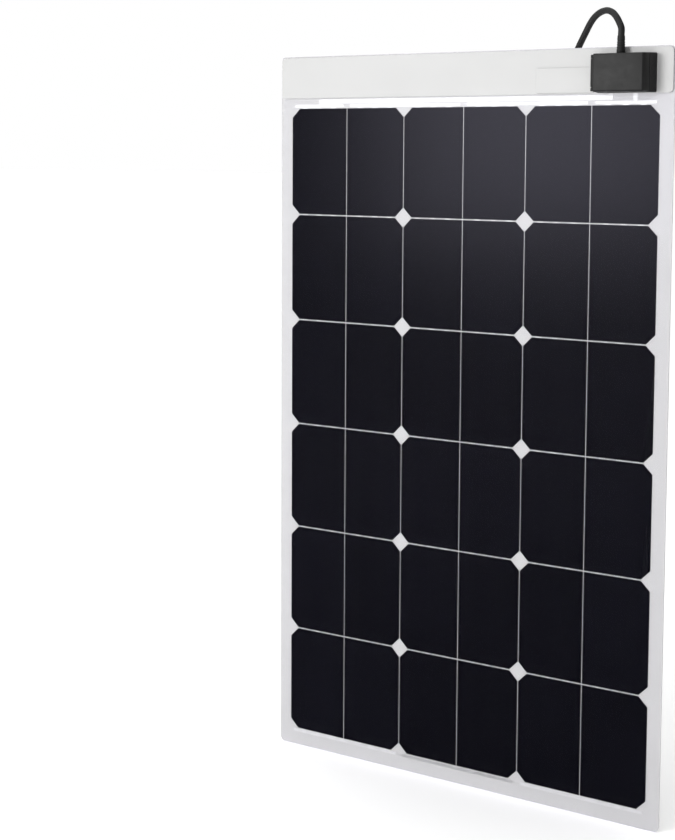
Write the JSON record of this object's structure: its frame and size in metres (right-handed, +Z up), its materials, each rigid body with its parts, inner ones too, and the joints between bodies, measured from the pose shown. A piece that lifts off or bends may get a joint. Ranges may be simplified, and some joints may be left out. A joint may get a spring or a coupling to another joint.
{
  "type": "flexible solar sheet",
  "caption": "Thin white-bordered flexible solar sheet with dark clipped-corner cells in a grid, a hinged junction box at the top right and its free cable.",
  "frame": {"origin": "centre of the sheet's flat rear face", "axes": "+X to the right seen from the front, +Y out of the rear face, +Z up the long side towards the junction box"},
  "size_m": [0.4984, 0.1003, 0.8774],
  "materials": {
    "white_carrier": "satin white glass-fibre laminate",
    "white_encapsulant": "smooth white",
    "silicon_cell": "anti-reflection coated silicon, blue-black",
    "tinned_ribbon": "tinned copper, satin",
    "clear_film": "clear fluoropolymer, faintly textured",
    "white_trim": "satin white",
    "box_plastic": "fine spark-eroded moulded texture",
    "black_rubber": "satin",
    "terminal_metal": "tin-plated brass",
    "black_epoxy": "moulded epoxy",
    "cable_jacket": "satin rubber sheath",
    "red_core": "satin core insulation"
  },
  "bodies": {
    "panel": {"carrier_sheet": "white_carrier", "rear_encapsulant": "white_encapsulant", "cell_s1_r1": "silicon_cell", "cell_s1_r2": "silicon_cell", "cell_s1_r3": "silicon_cell", "cell_s1_r4": "silicon_cell", "cell_s1_r5": "silicon_cell", "cell_s1_r6": "silicon_cell", "cell_s2_r1": "silicon_cell", "cell_s2_r2": "silicon_cell", "cell_s2_r3": "silicon_cell", "cell_s2_r4": "silicon_cell", "cell_s2_r5": "silicon_cell", "cell_s2_r6": "silicon_cell", "cell_s3_r1": "silicon_cell", "cell_s3_r2": "silicon_cell", "cell_s3_r3": "silicon_cell", "cell_s3_r4": "silicon_cell", "cell_s3_r5": "silicon_cell", "cell_s3_r6": "silicon_cell", "cell_s4_r1": "silicon_cell", "cell_s4_r2": "silicon_cell", "cell_s4_r3": "silicon_cell", "cell_s4_r4": "silicon_cell", "cell_s4_r5": "silicon_cell", "cell_s4_r6": "silicon_cell", "cell_s5_r1": "silicon_cell", "cell_s5_r2": "silicon_cell", "cell_s5_r3": "silicon_cell", "cell_s5_r4": "silicon_cell", "cell_s5_r5": "silicon_cell", "cell_s5_r6": "silicon_cell", "cell_s6_r1": "silicon_cell", "cell_s6_r2": "silicon_cell", "cell_s6_r3": "silicon_cell", "cell_s6_r4": "silicon_cell", "cell_s6_r5": "silicon_cell", "cell_s6_r6": "silicon_cell", "bus_ribbon_top_s2_s3": "tinned_ribbon", "bus_ribbon_top_s4_s5": "tinned_ribbon", "bus_ribbon_bottom_s1_s2": "tinned_ribbon", "bus_ribbon_bottom_s3_s4": "tinned_ribbon", "bus_ribbon_bottom_s5_s6": "tinned_ribbon", "positive_lead_ribbon": "tinned_ribbon", "negative_lead_ribbon": "tinned_ribbon", "front_film": "clear_film", "top_cover_strip": "white_trim", "lead_cover": "white_trim", "box_base": "box_plastic", "lid_seal": "black_rubber", "strain_relief": "black_rubber", "positive_terminal": "terminal_metal", "negative_terminal": "terminal_metal", "bypass_diode": "black_epoxy", "cable_run": "cable_jacket", "cable_hank": "cable_jacket", "end_sleeve": "cable_jacket", "core_negative": "cable_jacket", "core_positive": "red_core"},
    "lid": {"box_lid": "box_plastic"}
  },
  "joints": [
    {"name": "box_lid_hinge", "type": "hinge", "parent": "panel", "child": "lid", "pos_m": [0.16294, -0.0163, 0.3905], "axis": [0, 0, -1], "range_deg": [0, 110]}
  ]
}
